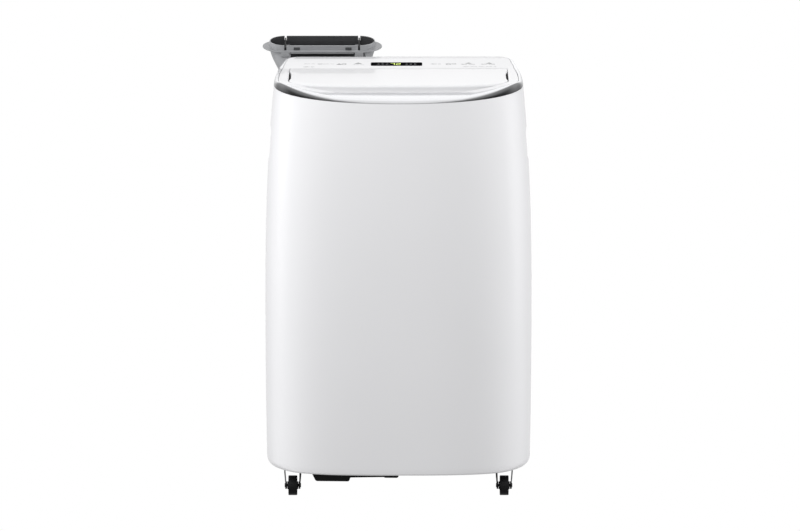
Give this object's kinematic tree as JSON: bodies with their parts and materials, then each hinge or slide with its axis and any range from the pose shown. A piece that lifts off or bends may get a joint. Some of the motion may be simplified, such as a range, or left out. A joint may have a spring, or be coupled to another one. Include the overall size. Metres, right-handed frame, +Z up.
{
  "type": "portable air conditioner",
  "caption": "Upright portable air conditioner with a bowed white casing, silver top trim, hinged outlet flap, swivel casters, and a rear exhaust hose with its window adapter.",
  "frame": {"origin": "on the floor, under the middle of the object's box", "axes": "+Z up, the front faces -Y, and the hose is at the back on the -X side"},
  "size_m": [0.5072, 0.5864, 0.8154],
  "materials": {
    "white_gloss": "smooth gloss",
    "trim_silver": "brushed silver plating",
    "display_glass": "smoked window over lit digits",
    "circuit_board": "printed board",
    "grey_plastic": "fine satin moulding",
    "black_plastic": "satin moulding",
    "white_satin": "satin",
    "grey_satin": "satin",
    "motor_steel": "zinc plated",
    "fin_aluminium": "finned",
    "copper": null,
    "black_paint": "satin black paint",
    "caster_steel": "pressed plated steel",
    "caster_black": "hard black tread"
  },
  "bodies": {
    "cabinet": {"front_shell": "white_gloss", "rear_shell": "white_gloss", "left_handle": "white_gloss", "right_handle": "white_gloss", "trim_ring": "trim_silver", "top_panel": "white_gloss", "display_window": "display_glass", "control_board": "circuit_board", "louver_motor": "motor_steel", "air_duct": "black_plastic", "blower_housing": "black_plastic", "blower_motor": "motor_steel", "divider_tray": "grey_satin", "evaporator": "fin_aluminium", "condenser": "fin_aluminium", "condenser_fan_housing": "black_plastic", "condenser_motor": "motor_steel", "exhaust_collar": "black_plastic", "exhaust_elbow": "grey_plastic", "hose": "grey_plastic", "base_pan": "black_plastic", "sump_cover": "black_plastic", "cord_gland": "black_plastic", "compressor": "black_paint", "accumulator": "black_paint", "suction_pipe": "copper", "discharge_pipe": "copper", "liquid_line": "copper", "electrical_box": "motor_steel"},
    "outlet_flap": {"louver_flap": "white_gloss"},
    "vane_1": {"vane_1": "white_satin"},
    "vane_2": {"vane_2": "white_satin"},
    "vane_3": {"vane_3": "white_satin"},
    "vane_4": {"vane_4": "white_satin"},
    "vane_5": {"vane_5": "white_satin"},
    "vane_link": {"vane_link": "black_plastic"},
    "blower": {"blower_wheel": "grey_satin"},
    "exhaust_fan": {"condenser_fan": "grey_satin"},
    "front_left_caster_swivel": {"front_left_caster_fork": "caster_steel", "front_left_caster_axle": "caster_steel"},
    "front_left_caster_roller": {"front_left_caster_wheel": "caster_black"},
    "front_right_caster_swivel": {"front_right_caster_fork": "caster_steel", "front_right_caster_axle": "caster_steel"},
    "front_right_caster_roller": {"front_right_caster_wheel": "caster_black"},
    "rear_left_caster_swivel": {"rear_left_caster_fork": "caster_steel", "rear_left_caster_axle": "caster_steel"},
    "rear_left_caster_roller": {"rear_left_caster_wheel": "caster_black"},
    "rear_right_caster_swivel": {"rear_right_caster_fork": "caster_steel", "rear_right_caster_axle": "caster_steel"},
    "rear_right_caster_roller": {"rear_right_caster_wheel": "caster_black"},
    "upper_door": {"upper_grille": "white_gloss", "upper_filter": "black_plastic"},
    "lower_door": {"lower_grille": "white_gloss", "lower_filter": "black_plastic"},
    "upper_plug": {"upper_drain_plug": "black_plastic"},
    "lower_plug": {"lower_drain_plug": "black_plastic"},
    "adapter": {"window_adapter": "grey_plastic"}
  },
  "joints": [
    {"name": "outlet_flap_hinge", "type": "hinge", "parent": "cabinet", "child": "outlet_flap", "pos_m": [0, 0.0383, 0.7725], "axis": [-1, 0, 0], "range_deg": [0, 70]},
    {"name": "vane_1_pivot", "type": "hinge", "parent": "cabinet", "child": "vane_1", "pos_m": [-0.14, -0.08, 0.715], "axis": [0, 1, 0], "range_deg": [-35, 35]},
    {"name": "vane_2_pivot", "type": "hinge", "parent": "cabinet", "child": "vane_2", "pos_m": [-0.07, -0.08, 0.715], "axis": [0, 1, 0], "range_deg": [-35, 35]},
    {"name": "vane_3_pivot", "type": "hinge", "parent": "cabinet", "child": "vane_3", "pos_m": [0, -0.08, 0.715], "axis": [0, 1, 0], "range_deg": [-35, 35]},
    {"name": "vane_4_pivot", "type": "hinge", "parent": "cabinet", "child": "vane_4", "pos_m": [0.07, -0.08, 0.715], "axis": [0, 1, 0], "range_deg": [-35, 35]},
    {"name": "vane_5_pivot", "type": "hinge", "parent": "cabinet", "child": "vane_5", "pos_m": [0.14, -0.08, 0.715], "axis": [0, 1, 0], "range_deg": [-35, 35]},
    {"name": "vane_link_pivot", "type": "hinge", "parent": "vane_1", "child": "vane_link", "pos_m": [-0.14, -0.017, 0.702], "axis": [0, 1, 0], "range_deg": [-35, 35]},
    {"name": "blower_spin", "type": "hinge", "parent": "cabinet", "child": "blower", "pos_m": [0, -0.142, 0.527], "axis": [0, 1, 0], "continuous": true},
    {"name": "exhaust_fan_spin", "type": "hinge", "parent": "cabinet", "child": "exhaust_fan", "pos_m": [-0.105, -0.055, 0.205], "axis": [0, 1, 0], "continuous": true},
    {"name": "front_left_caster_turn", "type": "hinge", "parent": "cabinet", "child": "front_left_caster_swivel", "pos_m": [-0.197, -0.193, 0.0475], "axis": [0, 0, 1], "continuous": true},
    {"name": "front_left_caster_roll", "type": "hinge", "parent": "front_left_caster_swivel", "child": "front_left_caster_roller", "pos_m": [-0.197, -0.205, 0.0185], "axis": [1, 0, 0], "continuous": true},
    {"name": "front_right_caster_turn", "type": "hinge", "parent": "cabinet", "child": "front_right_caster_swivel", "pos_m": [0.197, -0.193, 0.0475], "axis": [0, 0, 1], "continuous": true},
    {"name": "front_right_caster_roll", "type": "hinge", "parent": "front_right_caster_swivel", "child": "front_right_caster_roller", "pos_m": [0.197, -0.205, 0.0185], "axis": [1, 0, 0], "continuous": true},
    {"name": "rear_left_caster_turn", "type": "hinge", "parent": "cabinet", "child": "rear_left_caster_swivel", "pos_m": [-0.184, 0.063, 0.0475], "axis": [0, 0, 1], "continuous": true},
    {"name": "rear_left_caster_roll", "type": "hinge", "parent": "rear_left_caster_swivel", "child": "rear_left_caster_roller", "pos_m": [-0.184, 0.075, 0.0185], "axis": [1, 0, 0], "continuous": true},
    {"name": "rear_right_caster_turn", "type": "hinge", "parent": "cabinet", "child": "rear_right_caster_swivel", "pos_m": [0.184, 0.063, 0.0475], "axis": [0, 0, 1], "continuous": true},
    {"name": "rear_right_caster_roll", "type": "hinge", "parent": "rear_right_caster_swivel", "child": "rear_right_caster_roller", "pos_m": [0.184, 0.075, 0.0185], "axis": [1, 0, 0], "continuous": true},
    {"name": "upper_door_hinge", "type": "hinge", "parent": "cabinet", "child": "upper_door", "pos_m": [0.06, 0.1375, 0.4305], "axis": [-1, 0, 0], "range_deg": [0, 70]},
    {"name": "lower_door_hinge", "type": "hinge", "parent": "cabinet", "child": "lower_door", "pos_m": [0, 0.1375, 0.0905], "axis": [-1, 0, 0], "range_deg": [0, 70]},
    {"name": "upper_plug_pull", "type": "slide", "parent": "cabinet", "child": "upper_plug", "axis": [0, 1, 0], "range_m": [0, 0.03]},
    {"name": "lower_plug_pull", "type": "slide", "parent": "cabinet", "child": "lower_plug", "axis": [0, 1, 0], "range_m": [0, 0.03]},
    {"name": "hose_stretch", "type": "slide", "parent": "cabinet", "child": "adapter", "axis": [0, 0, 1], "range_m": [0, 0.35], "deforming": ["hose"]}
  ],
  "couplings": [
    {"joint": "vane_2_pivot", "follows": "vane_1_pivot", "ratio": 1},
    {"joint": "vane_3_pivot", "follows": "vane_1_pivot", "ratio": 1},
    {"joint": "vane_4_pivot", "follows": "vane_1_pivot", "ratio": 1},
    {"joint": "vane_5_pivot", "follows": "vane_1_pivot", "ratio": 1},
    {"joint": "vane_link_pivot", "follows": "vane_1_pivot", "ratio": -1}
  ]
}
